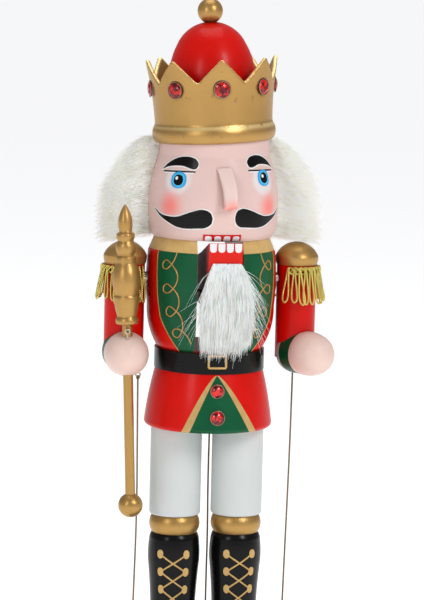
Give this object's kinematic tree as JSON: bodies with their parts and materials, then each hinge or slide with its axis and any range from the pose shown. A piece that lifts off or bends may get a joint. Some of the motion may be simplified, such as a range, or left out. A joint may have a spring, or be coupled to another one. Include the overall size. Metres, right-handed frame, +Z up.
{
  "type": "nutcracker figure",
  "caption": "Painted wooden nutcracker figure with a crown, fur hair and beard, a jaw worked by a lever at the back, turning arms and a sceptre.",
  "frame": {"origin": "on the underside of the plinth, on the figure's upright axis", "axes": "+Z up; the figure faces -Y; +X is the figure's own left"},
  "size_m": [0.1313, 0.1085, 0.3787],
  "materials": {
    "gold_paint": "satin gold paint",
    "red_paint": "satin red paint",
    "flesh_paint": "satin pink flesh paint",
    "black_paint": "semi-gloss black paint",
    "white_paint": "satin white paint",
    "green_paint": "satin dark green paint",
    "jaw_paint": "satin red paint with painted teeth",
    "white_fur": "long fluffy pile",
    "bullion": "metallic thread",
    "red_stone": "clear faceted",
    "bare_wood": "bare beech",
    "steel": "plain",
    "brass_wire": "bright wire",
    "dark_cord": "waxed thread"
  },
  "bodies": {
    "figure": {"base_plate": "green_paint", "base_screws": "steel", "belt": "black_paint", "coat_cord": "dark_cord", "coat_cord_eye": "brass_wire", "coat_jewels": "red_stone", "coat_skirt": "red_paint", "crown": "gold_paint", "crown_ball": "gold_paint", "crown_ball_dowel": "bare_wood", "crown_dome": "red_paint", "crown_dowel": "bare_wood", "crown_jewels": "red_stone", "hair": "white_fur", "head": "flesh_paint", "jaw_pin": "steel", "left_boot": "black_paint", "left_hip_dowel": "bare_wood", "left_knee_ring": "gold_paint", "left_leg": "white_paint", "left_leg_dowel": "bare_wood", "left_shoe": "black_paint", "left_shoulder_pin": "steel", "neck_dowels": "bare_wood", "nose": "flesh_paint", "right_boot": "black_paint", "right_hip_dowel": "bare_wood", "right_knee_ring": "gold_paint", "right_leg": "white_paint", "right_leg_dowel": "bare_wood", "right_shoe": "black_paint", "right_shoulder_pin": "steel", "torso": "red_paint"},
    "jaw": {"jaw_lever": "jaw_paint", "beard": "white_fur"},
    "left_arm": {"left_upper_arm": "red_paint", "left_epaulette": "gold_paint", "left_fringe": "bullion", "left_hand": "flesh_paint", "left_wrist_dowel": "bare_wood", "left_cord_eye": "brass_wire"},
    "right_arm": {"right_upper_arm": "red_paint", "right_epaulette": "gold_paint", "right_fringe": "bullion", "right_hand": "flesh_paint", "right_wrist_dowel": "bare_wood", "right_cord_eye": "brass_wire", "hand_screw_eye": "brass_wire", "sceptre_shaft": "gold_paint", "sceptre_finial": "gold_paint", "sceptre_ball": "gold_paint"},
    "left_hanging_cord": {"left_cord": "dark_cord"},
    "right_hanging_cord": {"right_cord": "dark_cord"}
  },
  "joints": [
    {"name": "jaw_hinge", "type": "hinge", "parent": "figure", "child": "jaw", "pos_m": [0, -0.006, 0.218], "axis": [1, 0, 0], "range_deg": [0, 10.5]},
    {"name": "left_shoulder", "type": "hinge", "parent": "figure", "child": "left_arm", "pos_m": [0.0477, 0, 0.226], "axis": [-1, 0, 0], "range_deg": [-20, 100]},
    {"name": "right_shoulder", "type": "hinge", "parent": "figure", "child": "right_arm", "pos_m": [-0.0477, 0, 0.226], "axis": [-1, 0, 0], "range_deg": [0, 15]},
    {"name": "left_cord_swing", "type": "hinge", "parent": "left_arm", "child": "left_hanging_cord", "pos_m": [0.048, 0.005, 0.1803], "axis": [-1, 0, 0], "range_deg": [-100, 20]},
    {"name": "right_cord_swing", "type": "hinge", "parent": "right_arm", "child": "right_hanging_cord", "pos_m": [-0.0404, -0.008, 0.173], "axis": [-1, 0, 0], "range_deg": [-15, 0]}
  ],
  "couplings": [
    {"joint": "left_cord_swing", "follows": "left_shoulder", "ratio": -1},
    {"joint": "right_cord_swing", "follows": "right_shoulder", "ratio": -1}
  ]
}
